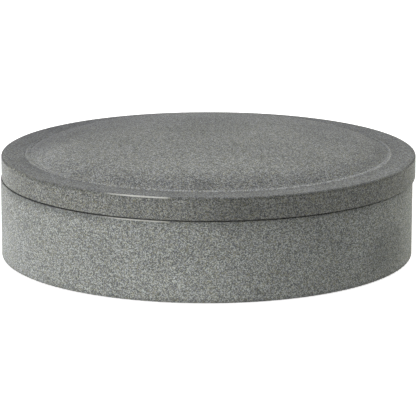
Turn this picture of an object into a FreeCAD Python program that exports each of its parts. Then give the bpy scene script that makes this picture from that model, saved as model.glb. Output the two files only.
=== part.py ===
"""Round turned stone box that holds an inkstone and an ink stick.

A parametric document in millimetres. The box stands on the XY plane, Z is its axis and -Y its front.
The box is sized from the inside out: the inkstone and the ink stick lie side by side on a felt disc, the
cavity is turned to clear their corners, and the wall, the lid and both felts follow the cavity.
"""
import FreeCAD
import Part
import Sketcher

import os

# Driving sizes. Each one can be changed by itself.
SIZES = {
    # Inkstone: a slab with a grinding face and, at its +X end, a well for the ink.
    "inkstone_length": 120.0,
    "inkstone_width": 76.0,
    "inkstone_height": 18.0,
    "inkstone_corner": 7.0,
    "inkstone_arris": 1.2,
    "face_lip": 6.0,
    "face_depth": 2.0,
    "face_corner": 5.0,
    "well_length": 30.0,
    "well_floor_length": 14.0,
    "well_depth": 8.0,
    "well_round": 2.5,
    # Ink stick: a moulded bar with a shallow panel on both broad faces and a slanted rubbing end.
    "stick_length": 76.0,
    "stick_width": 20.0,
    "stick_height": 9.0,
    "stick_arris": 1.0,
    "stick_slant": 1.6,
    "panel_margin": 3.0,
    "panel_end_margin": 8.0,
    "panel_depth": 0.5,
    "contents_gap": 12.0,
    # Box body.
    "corner_clearance": 1.3,
    "cavity_cove": 6.0,
    "mouth_arris": 0.5,
    "wall_thickness": 11.6,
    "floor_thickness": 11.7,
    "body_top_arris": 0.45,
    "body_base_arris": 0.8,
    # Felt on the cavity floor.
    "liner_thickness": 2.0,
    "liner_clearance": 0.5,
    # Felt let into the underside.
    "base_felt_thickness": 1.5,
    "base_felt_margin": 15.0,
    "base_felt_clearance": 0.4,
    "base_felt_proud": 0.5,
    # Lid underside: a spigot that drops into the mouth, round a hollow with an arched ceiling.
    "headroom": 1.7,
    "spigot_depth": 4.5,
    "spigot_ring": 10.0,
    "spigot_arris": 0.6,
    "spigot_gap": 0.4,
    "lid_offset": 0.8,
    "lid_thickness": 12.5,
    "ceiling_rise": 5.6,
    # Lid top: edge, flat rim, raised bead, and a cushion with a rounded shoulder and a crown.
    "lid_overhang": 0.4,
    "lid_edge_height": 11.2,
    "lid_seat_arris": 0.45,
    "seat_relief_width": 4.0,
    "seat_relief_height": 0.45,
    "lid_top_arris": 0.7,
    "rim_width": 11.6,
    "bead_width": 2.2,
    "bead_rise": 0.4,
    "foot_rise": 0.15,
    "shoulder_width": 18.2,
    "shoulder_rise": 5.65,
    "crown_rise": 3.9,
}

# Places and sizes that follow from the driving sizes, as expressions on the sheet.
CONTENTS_WIDTH = "(Sizes.inkstone_width + Sizes.contents_gap + Sizes.stick_width)"
INKSTONE_Y = f"(Sizes.inkstone_width / 2 - {CONTENTS_WIDTH} / 2)"
STICK_Y = f"({CONTENTS_WIDTH} / 2 - Sizes.stick_width / 2)"
CORNER_RADIUS = f"sqrt((Sizes.inkstone_length / 2)^2 + ({CONTENTS_WIDTH} / 2)^2)"
CAVITY_RADIUS = f"({CORNER_RADIUS} + Sizes.corner_clearance + Sizes.cavity_cove)"
BODY_RADIUS = f"({CAVITY_RADIUS} + Sizes.wall_thickness)"
LINER_RADIUS = f"({CAVITY_RADIUS} - Sizes.cavity_cove - Sizes.liner_clearance)"
BASE_FELT_RADIUS = f"({BODY_RADIUS} - Sizes.base_felt_margin)"
SPIGOT_RADIUS = f"({CAVITY_RADIUS} - Sizes.lid_offset - Sizes.spigot_gap)"
LID_RADIUS = f"({BODY_RADIUS} + Sizes.lid_overhang)"
HOLLOW_RADIUS = f"({SPIGOT_RADIUS} - Sizes.spigot_ring)"
SEAT_RADIUS = f"({LID_RADIUS} - Sizes.seat_relief_width)"
BEAD_RADIUS = f"({LID_RADIUS} - Sizes.rim_width)"
FOOT_RADIUS = f"({BEAD_RADIUS} - Sizes.bead_width)"
CROWN_RADIUS = f"({FOOT_RADIUS} - Sizes.shoulder_width)"

BODY_BASE_Z = "Sizes.base_felt_proud"
FLOOR_Z = f"({BODY_BASE_Z} + Sizes.floor_thickness)"
LINER_TOP_Z = f"({FLOOR_Z} + Sizes.liner_thickness)"
SPIGOT_Z = f"({LINER_TOP_Z} + Sizes.inkstone_height + Sizes.headroom)"
SEAM_Z = f"({SPIGOT_Z} + Sizes.spigot_depth)"
RELIEF_Z = f"({SEAM_Z} + Sizes.seat_relief_height)"
RIM_Z = f"({SEAM_Z} + Sizes.lid_edge_height)"
FOOT_Z = f"({RIM_Z} + Sizes.foot_rise)"
SHOULDER_Z = f"({FOOT_Z} + Sizes.shoulder_rise)"
CROWN_Z = f"({SHOULDER_Z} + Sizes.crown_rise)"
CEILING_Z = f"({CROWN_Z} - Sizes.lid_thickness)"

TOLERANCE = 1e-4

doc = FreeCAD.newDocument("StoneBox")
sheet = doc.addObject("Spreadsheet::Sheet", "Sizes")
for row, (alias, size) in enumerate(SIZES.items(), start=1):
    sheet.set(f"A{row}", alias)
    sheet.set(f"B{row}", str(size))
    sheet.setAlias(f"B{row}", alias)
doc.recompute()


def value(expression):
    """The number that an expression on the sheet gives."""
    return float(sheet.evalExpression(expression))


def new_body(label):
    body = doc.addObject("PartDesign::Body", label)
    body.Label = label
    return body


def new_sketch(body, name, role, height=None):
    """A sketch on one of the body's own planes, lifted along its normal by the expression height."""
    sketch = body.newObject("Sketcher::SketchObject", name)
    plane = next(f for f in body.Origin.OriginFeatures if f.Role == role)
    sketch.AttachmentSupport = (plane, [""])
    sketch.MapMode = "FlatFace"
    if height:
        sketch.setExpression("AttachmentOffset.Base.z", height)
    return sketch


def bind(sketch, kind, expression, *where):
    """Adds a dimension whose size is the expression's."""
    index = sketch.addConstraint(Sketcher.Constraint(kind, *where, value(expression)))
    sketch.setExpression(f"Constraints[{index}]", expression)


def outline(sketch, corners, arcs=None, hollow=()):
    """A closed outline, run anticlockwise through the corners, which are pairs of expressions.

    arcs gives, by the number of the side, the radius of a side that is an arc. An arc bulges outwards,
    or inwards where its number is in hollow.
    """
    arcs = arcs or {}
    points = [FreeCAD.Vector(value(x), value(y), 0) for x, y in corners]
    following = [*range(1, len(corners)), 0]
    # A sketch counts an arc's ends anticlockwise round its centre, so a hollow one starts at its end 2.
    starts = [2 if i in hollow else 1 for i in range(len(corners))]
    for i, j in enumerate(following):
        if i in arcs:
            half = (points[j] - points[i]) / 2
            radius = value(arcs[i])
            inwards = FreeCAD.Vector(-half.y, half.x, 0).normalize()
            to_centre = -inwards if i in hollow else inwards
            centre = points[i] + half + to_centre * (radius**2 - half.Length**2) ** 0.5
            side = Part.Arc(points[i], centre - to_centre * radius, points[j])
        else:
            side = Part.LineSegment(points[i], points[j])
        sketch.addGeometry(side, False)
    for i, j in enumerate(following):
        sketch.addConstraint(Sketcher.Constraint("Coincident", i, 3 - starts[i], j, starts[j]))
        for kind, axis, expression in (("DistanceX", -2, corners[i][0]), ("DistanceY", -1, corners[i][1])):
            if expression == "0":
                sketch.addConstraint(Sketcher.Constraint("PointOnObject", i, starts[i], axis))
            else:
                bind(sketch, kind, expression, -1, 1, i, starts[i])
    for i, radius in arcs.items():
        bind(sketch, "Radius", radius, i)


def rectangle(sketch, width, depth):
    """A rectangle centred on the sketch's origin."""
    x, y = f"({width}) / 2", f"({depth}) / 2"
    outline(sketch, [(f"-{x}", f"-{y}"), (x, f"-{y}"), (x, y), (f"-{x}", y)])


def turn(body, sketch):
    """The sketch turned once round its vertical axis."""
    solid = body.newObject("PartDesign::Revolution", body.Label + "_turned")
    solid.Profile = sketch
    solid.ReferenceAxis = (sketch, ["V_Axis"])
    solid.Angle = 360
    doc.recompute()
    return solid


def pad(body, sketch, length):
    solid = body.newObject("PartDesign::Pad", sketch.Name + "_pad")
    solid.Profile = sketch
    solid.setExpression("Length", length)
    doc.recompute()
    return solid


def pocket(body, sketch, length, **settings):
    """A pocket, checked to have cut something."""
    before = body.Shape.Volume
    cut = body.newObject("PartDesign::Pocket", sketch.Name + "_pocket")
    cut.Profile = sketch
    for name, setting in settings.items():
        setattr(cut, name, setting)
    cut.setExpression("Length", length)
    doc.recompute()
    assert body.Shape.Volume < before - TOLERANCE, f"{cut.Name} cuts nothing"
    return cut


def round_edges(body, name, radius, chosen):
    """Rounds the edges of the body's last feature for which chosen(edge) is true."""
    base = body.Tip
    edges = [f"Edge{i}" for i, edge in enumerate(base.Shape.Edges, start=1) if chosen(edge)]
    assert edges, f"{name} finds no edge"
    rounding = body.newObject("PartDesign::Fillet", name)
    rounding.Base = (base, edges)
    rounding.setExpression("Radius", radius)
    doc.recompute()
    return rounding


def circle_at(radius, height):
    """Chooses the turned edge of that radius at that height."""
    r, z = value(radius), value(height)

    def chosen(edge):
        return (
            not edge.Degenerated
            and edge.Curve.TypeId == "Part::GeomCircle"
            and abs(edge.Curve.Radius - r) < TOLERANCE
            and abs(edge.BoundBox.ZMin - z) < TOLERANCE
            and abs(edge.BoundBox.ZMax - z) < TOLERANCE
        )

    return chosen


def place(body, x=None, y=None, z=None):
    for axis, expression in (("x", x), ("y", y), ("z", z)):
        if expression:
            body.setExpression(f"Placement.Base.{axis}", expression)


def make_box_body():
    """A thick-walled bowl: flat floor with a cove, plain outside and a shallow recess underneath."""
    body = new_body("box_body")
    recess_radius = f"({BASE_FELT_RADIUS} + Sizes.base_felt_clearance)"
    profile = new_sketch(body, "body_profile", "XZ_Plane")
    outline(
        profile,
        [
            ("0", "Sizes.base_felt_thickness"),
            (recess_radius, "Sizes.base_felt_thickness"),
            (recess_radius, BODY_BASE_Z),
            (BODY_RADIUS, BODY_BASE_Z),
            (BODY_RADIUS, SEAM_Z),
            (CAVITY_RADIUS, SEAM_Z),
            (CAVITY_RADIUS, FLOOR_Z),
            ("0", FLOOR_Z),
        ],
    )
    turn(body, profile)
    round_edges(body, "body_base_rounding", "Sizes.body_base_arris", circle_at(BODY_RADIUS, BODY_BASE_Z))
    round_edges(body, "body_top_rounding", "Sizes.body_top_arris", circle_at(BODY_RADIUS, SEAM_Z))
    round_edges(body, "mouth_rounding", "Sizes.mouth_arris", circle_at(CAVITY_RADIUS, SEAM_Z))
    round_edges(body, "cavity_cove_rounding", "Sizes.cavity_cove", circle_at(CAVITY_RADIUS, FLOOR_Z))
    return body


def arc_over(half_span, rise):
    """The radius of an arc of that rise over that half span."""
    return f"(({half_span}^2 + {rise}^2) / (2 * {rise}))"


def make_lid():
    """A turned lid: spigot round an arched hollow below; rim, bead, shoulder and crown above."""
    body = new_body("lid")
    crown_arc = arc_over(CROWN_RADIUS, "Sizes.crown_rise")
    ceiling_arc = arc_over(HOLLOW_RADIUS, "Sizes.ceiling_rise")
    bead_arc = arc_over("(sqrt(Sizes.bead_width^2 + Sizes.foot_rise^2) / 2)", "Sizes.bead_rise")
    # The shoulder's arc runs smoothly into the crown's: both have the same slope where they meet.
    shoulder_chord = "sqrt(Sizes.shoulder_width^2 + Sizes.shoulder_rise^2)"
    half_turn = f"(atan(Sizes.shoulder_rise / Sizes.shoulder_width) - asin({CROWN_RADIUS} / {crown_arc}))"
    shoulder_arc = f"({shoulder_chord} / (2 * sin({half_turn})))"
    corners = [
        ("0", CEILING_Z),
        (HOLLOW_RADIUS, f"({CEILING_Z} - Sizes.ceiling_rise)"),
        (HOLLOW_RADIUS, SPIGOT_Z),
        (SPIGOT_RADIUS, SPIGOT_Z),
        (SPIGOT_RADIUS, SEAM_Z),
        (SEAT_RADIUS, SEAM_Z),
        (SEAT_RADIUS, RELIEF_Z),
        (LID_RADIUS, RELIEF_Z),
        (LID_RADIUS, RIM_Z),
        (BEAD_RADIUS, RIM_Z),
        (FOOT_RADIUS, FOOT_Z),
        (CROWN_RADIUS, SHOULDER_Z),
        ("0", CROWN_Z),
    ]
    ceiling_side, bead_side, shoulder_side, crown_side = 0, 9, 10, 11
    arcs = {ceiling_side: ceiling_arc, bead_side: bead_arc, shoulder_side: shoulder_arc, crown_side: crown_arc}
    profile = new_sketch(body, "lid_profile", "XZ_Plane")
    outline(profile, corners, arcs, hollow=(ceiling_side,))
    turn(body, profile)
    round_edges(body, "spigot_rounding", "Sizes.spigot_arris", circle_at(SPIGOT_RADIUS, SPIGOT_Z))
    round_edges(body, "hollow_rounding", "Sizes.spigot_arris", circle_at(HOLLOW_RADIUS, SPIGOT_Z))
    round_edges(body, "lid_seat_rounding", "Sizes.lid_seat_arris", circle_at(LID_RADIUS, RELIEF_Z))
    round_edges(body, "lid_top_rounding", "Sizes.lid_top_arris", circle_at(LID_RADIUS, RIM_Z))
    place(body, x="Sizes.lid_offset")
    return body


def make_disc(label, radius, thickness, base_z):
    """A felt disc cut to a radius."""
    body = new_body(label)
    circle = new_sketch(body, label + "_circle", "XY_Plane")
    circle.addGeometry(Part.Circle(FreeCAD.Vector(0, 0, 0), FreeCAD.Vector(0, 0, 1), value(radius)), False)
    circle.addConstraint(Sketcher.Constraint("Coincident", 0, 3, -1, 1))
    bind(circle, "Radius", radius, 0)
    pad(body, circle, thickness)
    place(body, z=base_z)
    return body


def upright(edge, x, y):
    """Whether an edge stands upright over the four points (+-x, +-y)."""
    box = edge.BoundBox
    return (
        box.ZLength > TOLERANCE
        and box.XLength < TOLERANCE
        and box.YLength < TOLERANCE
        and abs(abs(box.XMin) - x) < TOLERANCE
        and abs(abs(box.YMin) - y) < TOLERANCE
    )


def level(edge, z):
    """Whether an edge lies in the plane at that height."""
    box = edge.BoundBox
    return abs(box.ZMin - z) < TOLERANCE and abs(box.ZMax - z) < TOLERANCE


def make_inkstone():
    """A slab with a lip round its grinding face, which slopes down into a well at the +X end."""
    body = new_body("inkstone")
    length, width, height = "Sizes.inkstone_length", "Sizes.inkstone_width", "Sizes.inkstone_height"
    face_length, face_width = f"({length} - 2 * Sizes.face_lip)", f"({width} - 2 * Sizes.face_lip)"
    face_z = f"({height} - Sizes.face_depth)"
    well_z = f"({face_z} - Sizes.well_depth)"
    well_end = f"({face_length} / 2)"

    slab = new_sketch(body, "slab", "XY_Plane")
    rectangle(slab, length, width)
    pad(body, slab, height)
    half_length, half_width = value(length) / 2, value(width) / 2
    round_edges(body, "slab_corners", "Sizes.inkstone_corner", lambda e: upright(e, half_length, half_width))

    face = new_sketch(body, "grinding_face", "XY_Plane", height)
    rectangle(face, face_length, face_width)
    pocket(body, face, "Sizes.face_depth")

    well = new_sketch(body, "well", "XZ_Plane")
    outline(
        well,
        [
            (f"({well_end} - Sizes.well_length)", face_z),
            (f"({well_end} - Sizes.well_floor_length)", well_z),
            (well_end, well_z),
            (well_end, face_z),
        ],
    )
    pocket(body, well, face_width, Midplane=True)
    face_x, face_y = value(face_length) / 2, value(face_width) / 2
    round_edges(body, "face_corners", "Sizes.face_corner", lambda e: upright(e, face_x, face_y))
    floor_z = value(well_z)
    round_edges(body, "well_floor_rounding", "Sizes.well_round", lambda e: level(e, floor_z))
    top_z = value(height)
    round_edges(body, "top_rounding", "Sizes.inkstone_arris", lambda e: level(e, top_z))
    place(body, y=INKSTONE_Y, z=LINER_TOP_Z)
    return body


def make_ink_stick():
    """A bar with rounded edges, a sunk panel on both broad faces and one end rubbed to a slant."""
    body = new_body("ink_stick")
    length, width, height = "Sizes.stick_length", "Sizes.stick_width", "Sizes.stick_height"
    half_length = f"({length} / 2)"
    bar = new_sketch(body, "bar", "XZ_Plane")
    outline(
        bar,
        [
            (f"-{half_length}", "0"),
            (half_length, "0"),
            (f"({half_length} - Sizes.stick_slant)", height),
            (f"-{half_length}", height),
        ],
    )
    stick = pad(body, bar, width)
    stick.Midplane = True
    doc.recompute()
    round_edges(body, "stick_rounding", "Sizes.stick_arris", lambda e: True)

    panel_length = f"({length} - 2 * Sizes.panel_end_margin)"
    panel_width = f"({width} - 2 * Sizes.panel_margin)"
    upper = new_sketch(body, "upper_panel", "XY_Plane", height)
    rectangle(upper, panel_length, panel_width)
    pocket(body, upper, "Sizes.panel_depth")
    lower = new_sketch(body, "lower_panel", "XY_Plane")
    rectangle(lower, panel_length, panel_width)
    pocket(body, lower, "Sizes.panel_depth", Reversed=True)
    place(body, y=STICK_Y, z=LINER_TOP_Z)
    return body


pieces = [
    make_box_body(),
    make_lid(),
    make_disc("felt_liner", LINER_RADIUS, "Sizes.liner_thickness", FLOOR_Z),
    make_disc("base_felt", BASE_FELT_RADIUS, "Sizes.base_felt_thickness", None),
    make_inkstone(),
    make_ink_stick(),
]
doc.recompute()

faulty = [item.Name for item in doc.Objects if {"Invalid", "Error"} & set(item.State)]
assert not faulty, f"failed objects: {faulty}"
for piece in pieces:
    assert not piece.Shape.isNull() and piece.Shape.isValid(), f"{piece.Label} is not a valid shape"
    assert len(piece.Shape.Solids) == 1, f"{piece.Label} is not one solid"

os.makedirs("parts", exist_ok=True)
for piece in pieces:
    piece.Shape.exportStep(f"parts/{piece.Label}.step")
    box = piece.Shape.optimalBoundingBox()
    size = f"{box.XLength:.2f} x {box.YLength:.2f} x {box.ZLength:.2f} mm"
    print(f"{piece.Label}: {size}, z {box.ZMin:.2f} to {box.ZMax:.2f}")
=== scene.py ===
"""Finishes for a low round box turned from grey stone, and for the inkstone and the ink stick that it holds.

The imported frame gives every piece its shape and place. This script gives each stone piece and the ink stick a
material, lays two discs of wool felt where the frame has plain ones, and sets up the floor, lamps and camera.
Lengths are in metres, and a length in millimetres is multiplied by MM.
"""

import math

import bmesh
import bpy
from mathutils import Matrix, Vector, noise


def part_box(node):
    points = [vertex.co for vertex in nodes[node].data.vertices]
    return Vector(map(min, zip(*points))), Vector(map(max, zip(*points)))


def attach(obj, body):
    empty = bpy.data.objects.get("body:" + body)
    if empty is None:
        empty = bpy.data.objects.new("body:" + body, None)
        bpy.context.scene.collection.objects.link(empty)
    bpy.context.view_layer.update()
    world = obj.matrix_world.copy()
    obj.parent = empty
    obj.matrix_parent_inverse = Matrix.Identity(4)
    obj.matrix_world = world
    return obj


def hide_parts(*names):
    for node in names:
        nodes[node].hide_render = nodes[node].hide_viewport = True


MM = 0.001

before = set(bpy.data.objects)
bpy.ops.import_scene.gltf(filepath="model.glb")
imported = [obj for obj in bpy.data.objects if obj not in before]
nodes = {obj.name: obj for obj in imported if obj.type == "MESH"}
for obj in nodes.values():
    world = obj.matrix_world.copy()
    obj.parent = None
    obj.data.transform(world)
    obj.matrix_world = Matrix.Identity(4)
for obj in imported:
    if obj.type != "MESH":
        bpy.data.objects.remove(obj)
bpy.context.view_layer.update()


# ---------------------------------------------------------------------------------------------------------
# Sizes read from the frame
# ---------------------------------------------------------------------------------------------------------

body_low, body_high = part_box("box_body")
lid_low, lid_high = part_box("lid")
LID_AXIS = (lid_low + lid_high) / 2
LID_RADIUS = (lid_high.x - lid_low.x) / 2
BODY_RADIUS = (body_high.x - body_low.x) / 2
SEAM_Z = body_high.z

# The lid's turned profile, inwards from its edge: a flat rim, a bead and the cushion.
EDGE_HEIGHT = 11.2 * MM
RIM_WIDTH = 11.6 * MM
BEAD_WIDTH = 2.2 * MM
RIM_Z = SEAM_Z + EDGE_HEIGHT
BEAD_RADIUS = LID_RADIUS - RIM_WIDTH
FOOT_RADIUS = BEAD_RADIUS - BEAD_WIDTH


# ---------------------------------------------------------------------------------------------------------
# Materials
# ---------------------------------------------------------------------------------------------------------

# A Mix node's sockets by number: the share mixed in, the two colours, the two values and the mixed colour.
SHARE = 0
COLOUR, ADDED_COLOUR = 6, 7
VALUE, ADDED_VALUE = 2, 3
MIXED_COLOUR = 2
COLOURS = {"data_type": "RGBA"}

# Settings for a Map Range node whose steps start and end gently.
SMOOTH = {"interpolation_type": "SMOOTHSTEP"}


def linear(colour):
    """An sRGB hex colour as linear red, green, blue and alpha."""
    channels = [int(colour[i : i + 2], 16) / 255 for i in (1, 3, 5)]
    return [c / 12.92 if c <= 0.04045 else ((c + 0.055) / 1.055) ** 2.4 for c in channels] + [1]


def new_material(name):
    """An empty material: its node tree and its shader."""
    material = bpy.data.materials.new(name)
    material.use_nodes = True
    return material, material.node_tree, material.node_tree.nodes["Principled BSDF"]


def add(tree, kind, inputs, output=0, **settings):
    """Adds a node and returns one of its outputs.

    inputs gives the sockets, in order or by name, each a value or the output that feeds it. settings are the
    node's properties.
    """
    node = tree.nodes.new("ShaderNode" + kind)
    for name, setting in settings.items():
        setattr(node, name, setting)
    sources = inputs.items() if isinstance(inputs, dict) else enumerate(inputs)
    for name, source in sources:
        if isinstance(source, bpy.types.NodeSocket):
            tree.links.new(source, node.inputs[name])
        else:
            node.inputs[name].default_value = source
    return node.outputs[output]


def layered(tree, colour, layers):
    """A colour with others laid over it in turn.

    Each layer is a pattern, the values of the pattern at which the layer begins and is full, the layer's
    share when it is full, and its colour.
    """
    for pattern, begins, full, share, added in layers:
        laid = add(tree, "MapRange", [pattern, begins, full, 0, share], **SMOOTH)
        mixing = {SHARE: laid, COLOUR: colour, ADDED_COLOUR: linear(added)}
        colour = add(tree, "Mix", mixing, MIXED_COLOUR, **COLOURS)
    return colour


def cloud(tree, place, size, detail=2.0, stretch=(1, 1, 1), **settings):
    """Noise from 0 to 1 whose blotches are about size across, stretched along X, Y and Z."""
    scaled = add(tree, "Mapping", {"Vector": place, "Scale": [1 / s for s in stretch]})
    return add(tree, "TexNoise", {"Vector": scaled, "Scale": 1 / size, "Detail": detail, **settings})


def grains(tree, place, size):
    """Random brightness per mineral grain, from 0 to 1, and a second random number for its tint."""
    cells = add(tree, "TexVoronoi", {"Vector": place, "Scale": 1 / size, "Randomness": 1.0}, "Color")
    split = add(tree, "SeparateColor", [cells]).node
    return split.outputs["Red"], split.outputs["Green"]


def out_and_up(tree, place):
    """How far a point lies from the Z axis, and how high."""
    flat = add(tree, "VectorMath", [place, (1, 1, 0)], operation="MULTIPLY")
    out = add(tree, "VectorMath", [flat], "Value", operation="LENGTH")
    return out, add(tree, "SeparateXYZ", [place], "Z")


def circle_distance(tree, out, up, radius, height):
    """Distance from a level circle round the axis, such as a turned arris."""
    across = add(tree, "Math", [out, radius], operation="SUBTRACT")
    above = add(tree, "Math", [up, height], operation="SUBTRACT")
    offset = add(tree, "CombineXYZ", [across, above])
    return add(tree, "VectorMath", [offset], "Value", operation="LENGTH")


def ring(tree, out, radius, near, far):
    """1 within near of the circle of that radius, falling to 0 at far from it."""
    away = add(tree, "Math", [out, radius], operation="SUBTRACT")
    away = add(tree, "Math", [away], operation="ABSOLUTE")
    return add(tree, "MapRange", [away, near, far, 1, 0], **SMOOTH)


def bearing_of(tree, place):
    """The angle round the axis from the front, in radians, positive to the right."""
    split = add(tree, "SeparateXYZ", [place]).node
    to_front = add(tree, "Math", [split.outputs["Y"], -1], operation="MULTIPLY")
    return add(tree, "Math", [split.outputs["X"], to_front], operation="ARCTAN2")


def facing(tree, place, part, middle, half, soft):
    """The stretch of a part within half of the bearing middle, fading over soft beyond that. In degrees."""
    turned = add(tree, "Mapping", {"Vector": place, "Rotation": (0, 0, math.radians(-middle))})
    away = add(tree, "Math", [bearing_of(tree, turned)], operation="ABSOLUTE")
    near = add(tree, "MapRange", [away, math.radians(half), math.radians(half + soft), 1, 0], **SMOOTH)
    return add(tree, "Math", [part, near], operation="MULTIPLY")


def patch(tree, place, middle, reach):
    """1 at the middle of a soft-edged patch and 0 outside it. Middle and half sizes are in millimetres."""
    start = [-at / half for at, half in zip(middle, reach)]
    scale = [1 / (half * MM) for half in reach]
    scaled = add(tree, "Mapping", {"Vector": place, "Location": start, "Scale": scale})
    away = add(tree, "VectorMath", [scaled], "Value", operation="LENGTH")
    return add(tree, "MapRange", [away, 0.4, 1.1, 1, 0], **SMOOTH)


def wall_distances(tree, place, low, high):
    """How far a point lies inside the walls of the box from low to high, along X, Y and Z."""
    to_wall = add(tree, "VectorMath", [place, (low + high) / 2], operation="SUBTRACT")
    to_wall = add(tree, "VectorMath", [to_wall], operation="ABSOLUTE")
    to_wall = add(tree, "VectorMath", [(high - low) / 2, to_wall], operation="SUBTRACT")
    split = add(tree, "SeparateXYZ", [to_wall]).node
    return [split.outputs[axis] for axis in "XYZ"]


def edge_distance(tree, place, low, high):
    """How far a point is from the edges of the box from low to high, 0 on an edge."""
    x, y, z = wall_distances(tree, place, low, high)
    nearest = add(tree, "Math", [x, y], operation="MINIMUM")
    farther = add(tree, "Math", [x, y], operation="MAXIMUM")
    nearest = add(tree, "Math", [nearest, z], operation="MAXIMUM")
    return add(tree, "Math", [nearest, farther], operation="MINIMUM")


# The stone's mineral grains, the slow change of its colour and the rings that the lathe's tool left.
LARGE_GRAIN, SMALL_GRAIN = 0.42 * MM, 0.27 * MM
MOTTLE = 16 * MM
TOOL_RINGS, TOOL_DEPTH = 0.9 * MM, 0.05 * MM

# How bright the darkest and lightest grains are, how bright the stone is without them, and how far they
# stand out from that on each part.
DARKEST, LIGHTEST, UNGRAINED = 0.28, 2.18, 0.93
ON_SIDE, ON_CUSHION, ON_RIM = 0.78, 0.83, 0.76

# The bearings of the rubbed arris and its painted glint: it fades in to the second and out from the third.
RUBBED_GLINT_FROM, RUBBED_GLINT_FADES_IN = math.radians(-31), math.radians(-20)
RUBBED_GLINT_FADES_OUT, RUBBED_GLINT_TO = math.radians(-12), math.radians(-9)


def turned_stone(name, base, axis, rubbed_glint_line, painted_glint_share, painted_light_and_tones):
    """Fine-grained grey stone, such as a basalt or a fine granite, turned on a lathe and honed.

    Its minerals show as grains of about 0.3 and 0.4 mm, lighter, darker, yellowish and bluish. Honing leaves
    a dull sheen and the tool leaves faint rings. Fingers have rubbed a stretch of the arris at the front left
    glossy, along the given circle, and a glint is painted there, paler by the given share. The last argument
    gives the places where the colour changes, mostly painted light and shade, as pairs of where, from 0 to 1,
    and what multiplies the stone's red, green and blue there.
    """
    material, tree, shader = new_material(name)
    place = add(tree, "TexCoord", [], "Object")
    place = add(tree, "Mapping", {"Vector": place, "Location": (-axis.x, -axis.y, 0)})
    out, up = out_and_up(tree, place)

    large, warm = grains(tree, place, LARGE_GRAIN)
    small, cool = grains(tree, place, SMALL_GRAIN)
    speckle = add(tree, "Mix", {SHARE: 0.45, VALUE: large, ADDED_VALUE: small})
    bright = add(tree, "MapRange", [speckle, 0.22, 0.78, 0, 1], **SMOOTH)
    bright = add(tree, "Math", [bright, bright], operation="MULTIPLY")
    bright = add(tree, "Math", [bright, LIGHTEST - DARKEST, DARKEST], operation="MULTIPLY_ADD")

    on_top = add(tree, "MapRange", [up, RIM_Z - 1.0 * MM, RIM_Z - 0.3 * MM, 0, 1], **SMOOTH)
    on_rim = add(tree, "MapRange", [out, FOOT_RADIUS - 0.5 * MM, FOOT_RADIUS + 0.5 * MM, 0, 1], **SMOOTH)
    top_contrast = add(tree, "Mix", {SHARE: on_rim, VALUE: ON_CUSHION, ADDED_VALUE: ON_RIM})
    contrast = add(tree, "Mix", {SHARE: on_top, VALUE: ON_SIDE, ADDED_VALUE: top_contrast})
    bright = add(tree, "Mix", {SHARE: contrast, VALUE: UNGRAINED, ADDED_VALUE: bright})
    mottle = cloud(tree, place, MOTTLE, 3.0, Roughness=0.55)
    mottle = add(tree, "MapRange", [mottle, 0.3, 0.7, 0.95, 1.05], **SMOOTH)
    bright = add(tree, "Math", [bright, mottle], operation="MULTIPLY")

    mixing = {SHARE: 1.0, COLOUR: linear(base), ADDED_COLOUR: bright}
    colour = add(tree, "Mix", mixing, MIXED_COLOUR, blend_type="MULTIPLY", **COLOURS)
    minerals = (warm, 0.72, 0.9, 0.5, "#9a9676"), (cool, 0.72, 0.9, 0.5, "#76798c")
    colour = layered(tree, colour, minerals)
    # Painted light and shade, and a few tones of the stone, multiply the colour.
    for where, cast in painted_light_and_tones(tree, place):
        mixing = {SHARE: where, COLOUR: colour, ADDED_COLOUR: (*cast, 1)}
        colour = add(tree, "Mix", mixing, MIXED_COLOUR, blend_type="MULTIPLY", **COLOURS)

    # A stretch of the arris rubbed glossy, with a painted glint that makes it paler.
    bearing = bearing_of(tree, place)
    from_line = circle_distance(tree, out, up, *rubbed_glint_line)
    rubbed = add(tree, "MapRange", [from_line, 0.25 * MM, 0.55 * MM, 1, 0], **SMOOTH)
    fading_in = add(tree, "MapRange", [bearing, RUBBED_GLINT_FROM, RUBBED_GLINT_FADES_IN, 0, 1], **SMOOTH)
    fading_out = add(tree, "MapRange", [bearing, RUBBED_GLINT_FADES_OUT, RUBBED_GLINT_TO, 1, 0], **SMOOTH)
    rubbed = add(tree, "Math", [rubbed, fading_in], operation="MULTIPLY")
    rubbed = add(tree, "Math", [rubbed, fading_out], operation="MULTIPLY")
    share = add(tree, "Math", [rubbed, painted_glint_share], operation="MULTIPLY")
    mixing = {SHARE: share, COLOUR: colour, ADDED_COLOUR: linear("#dcdcd6")}
    colour = add(tree, "Mix", mixing, MIXED_COLOUR, **COLOURS)
    tree.links.new(colour, shader.inputs["Base Color"])

    honed = add(tree, "MapRange", [small, 0, 1, 0.74, 0.86], **SMOOTH)
    roughness = add(tree, "Mix", {SHARE: rubbed, VALUE: honed, ADDED_VALUE: 0.22})
    tree.links.new(roughness, shader.inputs["Roughness"])
    shader.inputs["IOR"].default_value = 1.54
    shader.inputs["Specular IOR Level"].default_value = 0.1

    section = add(tree, "CombineXYZ", [out, up])
    tooling = cloud(tree, section, TOOL_RINGS, 2.0)
    relief = add(tree, "Mix", {SHARE: 0.5, VALUE: tooling, ADDED_VALUE: speckle})
    strength = add(tree, "MapRange", [rubbed, 0, 1, 0.5, 0.03], **SMOOTH)
    bump = add(tree, "Bump", {"Height": relief, "Distance": TOOL_DEPTH, "Strength": strength})
    tree.links.new(bump, shader.inputs["Normal"])
    return material


def differences(tree, place, parts, stretches, patches):
    """Where a turned piece's colour changes from its plain stone, mostly as painted light and shade, each place
    with what multiplies the colour there.

    parts go all the way round. stretches are the parts of which only a stretch differs, each with the bearing
    of its middle, half its width and how far it fades beyond that, in degrees. patches have their middle and
    half sizes in millimetres.
    """
    found = list(parts)
    found += [(facing(tree, place, part, *bearings), cast) for part, bearings, cast in stretches]
    found += [(patch(tree, place, middle, reach), cast) for middle, reach, cast in patches]
    return found


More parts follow.
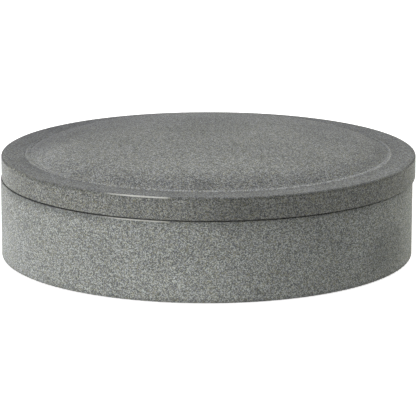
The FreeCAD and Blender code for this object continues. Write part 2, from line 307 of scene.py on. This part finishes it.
def body_painted_light_and_shade(tree, place):
    """The body's painted shade under the lid and at the foot, and painted light and shade in patches on its
    side.
    """
    up = add(tree, "SeparateXYZ", [place], "Z")
    mouth = add(tree, "MapRange", [up, SEAM_Z - 0.4 * MM, SEAM_Z - 0.15 * MM, 0, 1], **SMOOTH)
    collar = add(tree, "MapRange", [up, SEAM_Z - 4.5 * MM, SEAM_Z - 0.6 * MM, 0, 1], **SMOOTH)
    foot = add(tree, "MapRange", [up, 1.2 * MM, 2.9 * MM, 1, 0], **SMOOTH)
    # Painted shade low at the foot and just under the lid at the mouth.
    parts = (
        (foot, (0.80, 0.80, 0.80)),
        (mouth, (0.85, 0.85, 0.85)),
    )
    # Painted shade under the lid's overhang, deepest at the front left.
    stretches = (
        (collar, (-49, 12, 20), (0.68, 0.68, 0.69)),
        (collar, (30, 55, 20), (0.88, 0.88, 0.88)),
    )
    # Painted light and shade on the side: darker high at the front and front right and low at the right,
    # lighter low at the front and at the left.
    patches = (
        ((0, -99, 39), (60, 40, 5), (0.95, 0.95, 0.95)),
        ((25, -96, 36), (32, 40, 8), (0.90, 0.90, 0.90)),
        ((-4, -99, 9), (26, 40, 14), (1.10, 1.10, 1.10)),
        ((84, -52, 13), (16, 34, 15), (0.81, 0.81, 0.81)),
        ((-92, -34, 5), (30, 50, 22), (1.10, 1.10, 1.12)),
    )
    return differences(tree, place, parts, stretches, patches)


def lid_tones_and_painted_light(tree, place):
    """The lid's rim darker and cooler, its bead paler, and painted light and shade on its parts and over its
    cushion.
    """
    out, up = out_and_up(tree, place)
    at_edge = add(tree, "MapRange", [out, LID_RADIUS - 0.9 * MM, LID_RADIUS - 0.2 * MM, 0, 1], **SMOOTH)
    below_rim = add(tree, "MapRange", [up, RIM_Z - 0.9 * MM, RIM_Z - 0.2 * MM, 1, 0], **SMOOTH)
    beyond_bead = add(tree, "MapRange", [out, BEAD_RADIUS - 0.3 * MM, BEAD_RADIUS + 0.3 * MM, 0, 1], **SMOOTH)
    beyond_foot = add(tree, "MapRange", [out, FOOT_RADIUS - 0.3 * MM, FOOT_RADIUS + 0.3 * MM, 0, 1], **SMOOTH)
    beyond_crown = add(tree, "MapRange", [out, FOOT_RADIUS - 16 * MM, FOOT_RADIUS - 4 * MM, 0, 1], **SMOOTH)
    side = add(tree, "Math", [at_edge, below_rim], operation="MULTIPLY")
    rim = add(tree, "Math", [beyond_bead, side], operation="SUBTRACT")
    bead = add(tree, "Math", [beyond_foot, beyond_bead], operation="SUBTRACT")
    shoulder = add(tree, "Math", [beyond_crown, beyond_foot], operation="SUBTRACT")
    seat = add(tree, "MapRange", [up, SEAM_Z + 0.5 * MM, SEAM_Z + 0.75 * MM, 1, 0], **SMOOTH)

    # Rings outside the bead, on its outer and inner flanks, and inside it.
    beside_bead = ring(tree, out, BEAD_RADIUS + 1.8 * MM, 1.0 * MM, 2.6 * MM)
    outer_flank = ring(tree, out, BEAD_RADIUS - 0.2 * MM, 0.3 * MM, 1.0 * MM)
    inner_flank = ring(tree, out, FOOT_RADIUS + 0.2 * MM, 0.2 * MM, 1.0 * MM)
    hollow = ring(tree, out, FOOT_RADIUS - 3.2 * MM, 0.8 * MM, 4.0 * MM)

    # The arris, the band of the side just under it, and grains along it painted as glints.
    from_arris = circle_distance(tree, out, up, LID_RADIUS, RIM_Z)
    arris = add(tree, "MapRange", [from_arris, 0.4 * MM, 0.9 * MM, 1, 0], **SMOOTH)
    brow = add(tree, "MapRange", [up, RIM_Z - 2.0 * MM, RIM_Z - 0.8 * MM, 0, 1], **SMOOTH)
    over_edge = add(tree, "MapRange", [out, LID_RADIUS - 0.85 * MM, LID_RADIUS - 0.45 * MM, 0, 1], **SMOOTH)
    brow = add(tree, "Math", [brow, over_edge], operation="MULTIPLY")
    glinting_grains = add(tree, "MapRange", [grains(tree, place, LARGE_GRAIN)[0], 0.68, 0.76, 0, 1], **SMOOTH)
    arris_glints = add(tree, "MapRange", [from_arris, 0.6 * MM, 1.0 * MM, 1, 0], **SMOOTH)
    arris_glints = add(tree, "Math", [arris_glints, glinting_grains], operation="MULTIPLY")

    # Painted shade on the front and the right of the lid's side.
    front_side_shade = patch(tree, place, (8, -100, 43), (18, 30, 14))
    front_side_shade = add(tree, "Math", [side, front_side_shade], operation="MULTIPLY")
    right_side_shade = patch(tree, place, (28, -97, 44), (28, 30, 14))
    right_side_shade = add(tree, "Math", [side, right_side_shade], operation="MULTIPLY")
    # The rim darker and a little cooler; painted shade at the seat under the lid's side, on the shoulder round
    # the cushion and on the front and right of the side.
    parts = (
        (rim, (0.88, 0.88, 0.90)),
        (seat, (0.72, 0.72, 0.72)),
        (shoulder, (0.88, 0.88, 0.89)),
        (front_side_shade, (0.84, 0.84, 0.84)),
        (right_side_shade, (0.86, 0.86, 0.86)),
    )
    stretches = (
        # Painted glints on grains along the arris at the left.
        (arris_glints, (-66, 5, 9), (1.7, 1.7, 1.4)),
        # Painted shade on the band under the arris, at the front and the front left.
        (brow, (0, 60, 16), (0.74, 0.74, 0.73)),
        (brow, (-48, 8, 10), (0.88, 0.88, 0.88)),
        (rim, (-69, 8, 8), (0.87, 0.87, 0.87)),
        # Painted shade on the side at the front.
        (side, (0, 58, 24), (0.83, 0.83, 0.81)),
        (beside_bead, (0, 75, 15), (0.90, 0.90, 0.90)),
        # The bead paler on the right and at the front left: paler worn stone and painted highlight.
        (bead, (45, 52, 20), (1.24, 1.24, 1.27)),
        (bead, (-38, 14, 10), (1.13, 1.13, 1.14)),
        # Painted shade inside the bead, on the right and at the front.
        (hollow, (95, 20, 25), (0.82, 0.82, 0.83)),
        (hollow, (2, 22, 20), (0.91, 0.91, 0.91)),
        # Painted shade on the bead's outer flank and painted light on its inner flank, at the left.
        (outer_flank, (-90, 40, 25), (0.86, 0.86, 0.86)),
        (inner_flank, (-100, 50, 25), (1.3, 1.3, 1.3)),
        # Painted shade along the arris at the back and both sides, where it reflects dark surroundings.
        (arris, (180, 105, 12), (0.45, 0.45, 0.45)),
        # Painted shade on the shoulder at the back left.
        (shoulder, (-120, 25, 22), (0.84, 0.84, 0.85)),
    )
    # Painted light and shade on the cushion: darker in the middle, at the back, the back left, the left and the
    # right, a little lighter at the left front, and lighter across the front as a painted reflection.
    patches = (
        ((0, 18, 58), (26, 28, 20), (0.88, 0.88, 0.88)),
        ((-36, -2, 58), (54, 35, 20), (0.91, 0.91, 0.91)),
        ((6, -59, 54), (66, 17, 20), (1.10, 1.10, 1.09)),
        ((-78, -34, 52), (9, 22, 20), (1.06, 1.06, 1.06)),
        ((-76, 36, 52), (55, 52, 20), (0.74, 0.74, 0.76)),
        ((-74, 12, 52), (16, 30, 20), (0.86, 0.86, 0.87)),
        ((68, 14, 52), (36, 48, 20), (0.81, 0.81, 0.83)),
        ((0, 75, 55), (130, 75, 40), (0.80, 0.80, 0.83)),
        # Two small darker spots at the front of the cushion.
        ((-2, -82, 50), (7, 7, 10), (0.84, 0.84, 0.84)),
        ((-60, -58, 51), (7, 7, 10), (0.86, 0.86, 0.86)),
    )
    return differences(tree, place, parts, stretches, patches)


# The lip round the inkstone's face. Dried ink reaches this far from the well's end and unevenly farther, by
# up to the wander, and it ends in a soft margin.
SLATE_LIP = 5 * MM
INK_REACH, INK_MARGIN, INK_WANDER = 39 * MM, 6 * MM, 40 * MM


def honed_slate():
    """Slate, split and honed by hand: near black with a dull sheen, its bedding faint on the cut sides.

    Grinding leaves fine scratches along the face. Ink that has dried in the well and on the slope is blacker
    and glossier than the stone, with an uneven margin. The handled edges are rubbed paler.
    """
    material, tree, shader = new_material("honed_slate")
    place = add(tree, "TexCoord", [], "Object")
    low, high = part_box("inkstone")
    split = add(tree, "SeparateXYZ", [place]).node

    bedding = cloud(tree, place, 5 * MM, 3.0, stretch=(8, 8, 0.5))
    grit = cloud(tree, place, 0.5 * MM, 2.0)
    scratches = cloud(tree, place, 0.6 * MM, 2.0, stretch=(25, 1, 1))
    slate = (
        (bedding, 0.3, 0.7, 1, "#414347"),
        (grit, 0.45, 0.75, 0.4, "#5a5c60"),
        (scratches, 0.6, 0.75, 0.25, "#6a6c70"),
    )
    colour = layered(tree, linear("#303135"), slate)

    # Dried ink lies inside the lip, below its top, and up the slope from the well as far as its margin.
    x, y, _ = wall_distances(tree, place, low, high)
    from_wall = add(tree, "Math", [x, y], operation="MINIMUM")
    inside = add(tree, "MapRange", [from_wall, SLATE_LIP - 0.5 * MM, SLATE_LIP + 0.5 * MM, 0, 1], **SMOOTH)
    below = add(tree, "MapRange", [split.outputs["Z"], high.z - 1.2 * MM, high.z - 1.9 * MM, 0, 1], **SMOOTH)
    sunk = add(tree, "Math", [inside, below], operation="MULTIPLY")
    margin = cloud(tree, place, 12 * MM, 4.0)
    wander = add(tree, "Math", [margin, INK_WANDER], operation="MULTIPLY")
    reach = add(tree, "Math", [split.outputs["X"], wander], operation="ADD")
    start, end = high.x - INK_REACH - INK_MARGIN / 2, high.x - INK_REACH + INK_MARGIN / 2
    inked = add(tree, "MapRange", [reach, start, end, 0, 1], **SMOOTH)
    inked = add(tree, "Math", [inked, sunk], operation="MULTIPLY")
    inked = add(tree, "Math", [inked, 0.9], operation="MULTIPLY")
    mixing = {SHARE: inked, COLOUR: colour, ADDED_COLOUR: linear("#111113")}
    colour = add(tree, "Mix", mixing, MIXED_COLOUR, **COLOURS)

    from_edge = edge_distance(tree, place, low, high)
    colour = layered(tree, colour, [(from_edge, 2.2 * MM, 1.0 * MM, 0.4, "#77797d")])
    tree.links.new(colour, shader.inputs["Base Color"])

    dull = add(tree, "MapRange", [grit, 0.2, 0.8, 0.5, 0.68], **SMOOTH)
    roughness = add(tree, "Mix", {SHARE: inked, VALUE: dull, ADDED_VALUE: 0.24})
    tree.links.new(roughness, shader.inputs["Roughness"])
    scratched = add(tree, "Math", [scratches, 0.6, grit], operation="MULTIPLY_ADD")
    relief = add(tree, "Mix", {SHARE: inked, VALUE: scratched, ADDED_VALUE: 0.5})
    bump = add(tree, "Bump", {"Height": relief, "Distance": 0.04 * MM, "Strength": 0.6})
    tree.links.new(bump, shader.inputs["Normal"])
    return material


def moulded_ink():
    """Ink, which is lamp soot and glue pressed in a mould: black with a brown cast and a satin skin.

    Handling has rubbed the edges a little paler. The end that has been rubbed on the stone is glossier.
    """
    material, tree, shader = new_material("moulded_ink")
    place = add(tree, "TexCoord", [], "Object")
    low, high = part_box("ink_stick")
    along = add(tree, "SeparateXYZ", [place], "X")

    soot = cloud(tree, place, 0.6 * MM, 3.0)
    bloom = cloud(tree, place, 9 * MM, 4.0)
    from_edge = edge_distance(tree, place, low, high)
    rubbed_from, rubbed_to = high.x - 2.6 * MM, high.x - 1.2 * MM
    ink = (
        (soot, 0.3, 0.7, 1, "#272322"),
        (bloom, 0.5, 0.7, 0.35, "#3a3735"),
        (along, rubbed_from, rubbed_to, 0.7, "#0d0d0e"),
        (from_edge, 1.4 * MM, 0.5 * MM, 0.2, "#4a4644"),
    )
    colour = layered(tree, linear("#181617"), ink)
    tree.links.new(colour, shader.inputs["Base Color"])

    rubbed = add(tree, "MapRange", [along, rubbed_from, rubbed_to, 0, 1], **SMOOTH)
    satin = add(tree, "MapRange", [bloom, 0.3, 0.7, 0.34, 0.5], **SMOOTH)
    roughness = add(tree, "Mix", {SHARE: rubbed, VALUE: satin, ADDED_VALUE: 0.16})
    tree.links.new(roughness, shader.inputs["Roughness"])
    bump = add(tree, "Bump", {"Height": soot, "Distance": 0.03 * MM, "Strength": 0.5})
    tree.links.new(bump, shader.inputs["Normal"])
    return material


def wool_felt():
    """Pressed wool felt: a matt mat of fibres about 0.03 mm thick, charcoal with lighter and darker hairs.

    Single fibres are too fine to show, so the hairs are drawn as tufts of 0.3 by 2 mm, half of them lying
    across the others.
    """
    material, tree, shader = new_material("wool_felt")
    place = add(tree, "TexCoord", [], "Object")
    mat = cloud(tree, place, 0.7 * MM, 4.0)
    along = cloud(tree, place, 0.3 * MM, 2.0, stretch=(7, 1, 1))
    across = cloud(tree, place, 0.3 * MM, 2.0, stretch=(1, 7, 1))
    hairs = add(tree, "Math", [along, across], operation="MAXIMUM")
    uneven = cloud(tree, place, 18 * MM, 3.0)

    wool = (
        (mat, 0.3, 0.7, 1, "#454947"),
        (hairs, 0.62, 0.8, 0.5, "#6f7471"),
        (uneven, 0.35, 0.65, 0.25, "#262928"),
    )
    colour = layered(tree, linear("#2f3231"), wool)
    tree.links.new(colour, shader.inputs["Base Color"])
    shader.inputs["Roughness"].default_value = 0.95
    shader.inputs["Sheen Weight"].default_value = 0.3

    relief = add(tree, "Math", [mat, hairs], operation="ADD")
    bump = add(tree, "Bump", {"Height": relief, "Distance": 0.25 * MM, "Strength": 0.8})
    tree.links.new(bump, shader.inputs["Normal"])
    return material


def finish_node(node, material):
    """Gives every material slot of a node the one material."""
    for slot in nodes[node].material_slots:
        slot.material = material


BODY_AXIS = Vector((0, 0, 0))
# The circles along which each arris is rubbed glossy and painted with a glint.
BODY_RUBBED_GLINT = (BODY_RADIUS, SEAM_Z - 0.25 * MM)
LID_RUBBED_GLINT = (LID_RADIUS, RIM_Z - 0.45 * MM)
# Body and lid are one stone; the lid's darker colour is painted shade.
body_stone = turned_stone("turned_stone_body", "#8c8f8c", BODY_AXIS, BODY_RUBBED_GLINT, 0.56, body_painted_light_and_shade)
lid_stone = turned_stone("turned_stone_lid", "#838583", LID_AXIS, LID_RUBBED_GLINT, 0.62, lid_tones_and_painted_light)
finish_node("box_body", body_stone)
finish_node("lid", lid_stone)
finish_node("inkstone", honed_slate())
finish_node("ink_stick", moulded_ink())


# ---------------------------------------------------------------------------------------------------------
# Felt
# ---------------------------------------------------------------------------------------------------------

PILE_STEP = 2.5 * MM
FELT_SEGMENTS = 150

# The cut edge is rounded, by at most a share of the felt's thickness. A quarter round is drawn by its two
# ends and its middle, which lies inside the corner by a share of the radius.
EDGE_ROUND, LARGEST_SHARE = 0.6 * MM, 0.45
ROUND_MIDDLE = 0.3

# Free pile stands up to 0.35 mm prouder than pile that something presses down, once it is clear of it by the
# margin. The shears wandered by up to 0.25 mm, which shows in the outer tenth. Wear is the mean of its depth.
PILE_RISE, PILE_WAVE, PILE_MARGIN = 0.2 * MM, 0.15 * MM, 4 * MM
SHEARS_WANDER, SHEARED_FROM = 0.25 * MM, 0.9
WEAR = 0.05 * MM


def felt_disc(name, node, surface):
    """A disc of felt cut with shears: an uneven face and a soft cut edge. surface moves each point of it."""
    low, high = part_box(node)
    radius, thickness = (high.x - low.x) / 2, high.z - low.z
    soft = min(LARGEST_SHARE * thickness, EDGE_ROUND)
    inset = ROUND_MIDDLE * soft
    rings = round((radius - soft) / PILE_STEP)
    outs = [(radius - soft) * step / rings for step in range(rings + 1)]
    outline = [(out, high.z) for out in outs]
    outline += [(radius - inset, high.z - inset), (radius, high.z - soft)]
    outline += [(radius, low.z + soft), (radius - inset, low.z + inset)]
    outline += [(out, low.z) for out in reversed(outs)]

    disc = bmesh.new()
    corners = [disc.verts.new((out, 0, up)) for out, up in outline]
    sides = [disc.edges.new(pair) for pair in zip(corners, corners[1:])]
    bmesh.ops.spin(
        disc,
        geom=corners + sides,
        axis=(0, 0, 1),
        cent=(0, 0, 0),
        steps=FELT_SEGMENTS,
        angle=math.tau,
        use_merge=True,
    )
    bmesh.ops.remove_doubles(disc, verts=disc.verts, dist=1e-6)
    bmesh.ops.recalc_face_normals(disc, faces=disc.faces)
    for point in disc.verts:
        point.co = surface(point.co, low, high)
    mesh = bpy.data.meshes.new(name)
    disc.to_mesh(mesh)
    disc.free()
    mesh.shade_smooth()
    felt = bpy.data.objects.new(name, mesh)
    bpy.context.collection.objects.link(felt)
    felt.data.materials.append(FELT)
    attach(felt, "box")
    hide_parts(node)


def unevenness(point, size):
    """A smooth random height from -1 to 1 whose waves are about size across."""
    return noise.noise(Vector(point) / size)


def clear_of(point, footprint, margin):
    """0 under a piece that presses on the felt, rising to 1 at the margin beside it."""
    low, high = footprint
    beside = max(low.x - point.x, point.x - high.x, low.y - point.y, point.y - high.y, 0)
    return min(beside / margin, 1)


def liner_surface(point, low, high):
    """The pile stands prouder where nothing presses it down, and the shears wandered a little."""
    moved = point.copy()
    if point.z > (low.z + high.z) / 2:
        free = min(clear_of(point, footprint, PILE_MARGIN) for footprint in FOOTPRINTS)
        moved.z += free * (PILE_RISE + PILE_WAVE * unevenness(point, 7 * MM))
    at_the_cut = point.xy.length > SHEARED_FROM * high.x
    reach = 1 + SHEARS_WANDER / high.x * unevenness(point, 11 * MM) * at_the_cut
    moved.x *= reach
    moved.y *= reach
    return moved


def base_surface(point, low, high):
    """Worn thin in places: the face that slides on the table lies up to 0.1 mm higher there."""
    moved = point.copy()
    if point.z < (low.z + high.z) / 2:
        moved.z += WEAR * (1 + unevenness(point, 12 * MM))
    return moved


FELT = wool_felt()
FOOTPRINTS = [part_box("inkstone"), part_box("ink_stick")]
felt_disc("liner_felt", "felt_liner", liner_surface)
felt_disc("underside_felt", "base_felt", base_surface)


# ---------------------------------------------------------------------------------------------------------
# Floor, background, lamps and camera
# ---------------------------------------------------------------------------------------------------------

WHITE = linear("#ffffff")
FLOOR_RADIUS = 8

# The lamps stand in a circle round the target and face it. Lamps have linear colours.
TARGET = Vector((0, 0, 0.03))
LAMP_DISTANCE = 1.5
NEUTRAL, PALE_YELLOW = (1.0, 1.0, 1.0), (1.0, 1.0, 0.86)

# Each lamp's name, azimuth and elevation in degrees (azimuth 0 is in front, 90 at the right), power in watts,
# width and height in metres, and colour.
LAMPS = (
    ("lamp_overhead", 0, 80, 11.8, 0.6, 0.6, NEUTRAL),
    ("lamp_left", -60, 5, 10.7, 0.6, 0.3, NEUTRAL),
    ("lamp_strip", -45, 15, 3.8, 0.9, 0.3, NEUTRAL),
    ("lamp_back_left", -135, 5, 10.5, 0.6, 0.3, NEUTRAL),
    ("lamp_right", 60, 60, 4.8, 0.6, 0.6, NEUTRAL),
    ("lamp_back_right", 135, 5, 8.0, 0.6, 0.3, PALE_YELLOW),
    ("lamp_far_left", -160, 5, 1.0, 0.6, 0.3, NEUTRAL),
    ("lamp_far_right", 155, 5, 1.5, 0.6, 0.3, PALE_YELLOW),
)

# The camera stands in front, at this angle and distance from its aim and a little higher. Its lens and
# sensor are in millimetres.
CAMERA_ELEVATION = math.radians(13)
CAMERA_DISTANCE = 1.26
CAMERA_LENS, SENSOR_WIDTH = 224.4, 36
AIM_X, AIM_HEIGHT = 0.6 * MM, 21.5 * MM
CAMERA_RAISED = 4 * MM


def white_to_the_eye(tree, seen, otherwise):
    """A shader that camera, glossy and transmission rays see as seen, and every other ray as otherwise."""
    ray = add(tree, "LightPath", []).node.outputs
    eye = add(tree, "Math", [ray["Is Camera Ray"], ray["Is Glossy Ray"]], operation="MAXIMUM")
    eye = add(tree, "Math", [eye, ray["Is Transmission Ray"]], operation="MAXIMUM")
    return add(tree, "MixShader", [eye, otherwise, seen])


def make_world():
    """A white backdrop that adds only a little light of its own."""
    world = bpy.data.worlds.new("white_backdrop")
    world.use_nodes = True
    tree = world.node_tree
    dim = tree.nodes["Background"]
    dim.inputs["Color"].default_value = WHITE
    dim.inputs["Strength"].default_value = 0.05
    white = add(tree, "Background", {"Color": WHITE, "Strength": 1.0})
    out = white_to_the_eye(tree, white, dim.outputs[0])
    tree.links.new(out, tree.nodes["World Output"].inputs["Surface"])
    bpy.context.scene.world = world


def make_floor():
    """A pale floor that looks white apart from the object's shadow."""
    mesh = bpy.data.meshes.new("floor")
    disc = bmesh.new()
    bmesh.ops.create_circle(disc, cap_ends=True, segments=64, radius=FLOOR_RADIUS)
    disc.to_mesh(mesh)
    disc.free()
    floor = bpy.data.objects.new("floor", mesh)
    bpy.context.collection.objects.link(floor)
    material, tree, shader = new_material("pale_floor")
    shader.inputs["Base Color"].default_value = linear("#e6e6e4")
    shader.inputs["Roughness"].default_value = 0.9
    glow = add(tree, "Emission", {"Color": WHITE, "Strength": 0.85})
    both = add(tree, "AddShader", [shader.outputs[0], glow])
    out = white_to_the_eye(tree, both, shader.outputs[0])
    tree.links.new(out, tree.nodes["Material Output"].inputs["Surface"])
    mesh.materials.append(material)


def make_lamp(name, azimuth, elevation, power, width, height, colour):
    """A soft box that faces the target and stands clear of the floor."""
    light = bpy.data.lights.new(name, "AREA")
    light.energy = power
    light.color = colour
    light.shape = "RECTANGLE"
    light.size, light.size_y = width, height
    lamp = bpy.data.objects.new(name, light)
    bpy.context.collection.objects.link(lamp)
    turn, up = math.radians(azimuth), math.radians(elevation)
    level = math.cos(up)
    lamp.location = Vector((math.sin(turn) * level, -math.cos(turn) * level, math.sin(up))) * LAMP_DISTANCE
    lamp.location.z = max(lamp.location.z + TARGET.z, height * 0.6)
    lamp.rotation_euler = (TARGET - lamp.location).to_track_quat("-Z", "Y").to_euler()


def make_camera():
    """A long lens that looks slightly down on the front."""
    data = bpy.data.cameras.new("camera")
    data.lens = CAMERA_LENS
    data.sensor_width = SENSOR_WIDTH
    data.clip_end = 50
    camera = bpy.data.objects.new("camera", data)
    bpy.context.collection.objects.link(camera)
    back = -CAMERA_DISTANCE * math.cos(CAMERA_ELEVATION)
    height = AIM_HEIGHT + CAMERA_RAISED + CAMERA_DISTANCE * math.sin(CAMERA_ELEVATION)
    camera.location = (AIM_X, back, height)
    sight = Vector((AIM_X, 0, AIM_HEIGHT)) - camera.location
    camera.rotation_euler = sight.to_track_quat("-Z", "Y").to_euler()
    bpy.context.scene.camera = camera


make_world()
make_floor()
for lamp in LAMPS:
    make_lamp(*lamp)
make_camera()
bpy.context.scene.view_settings.view_transform = "Standard"
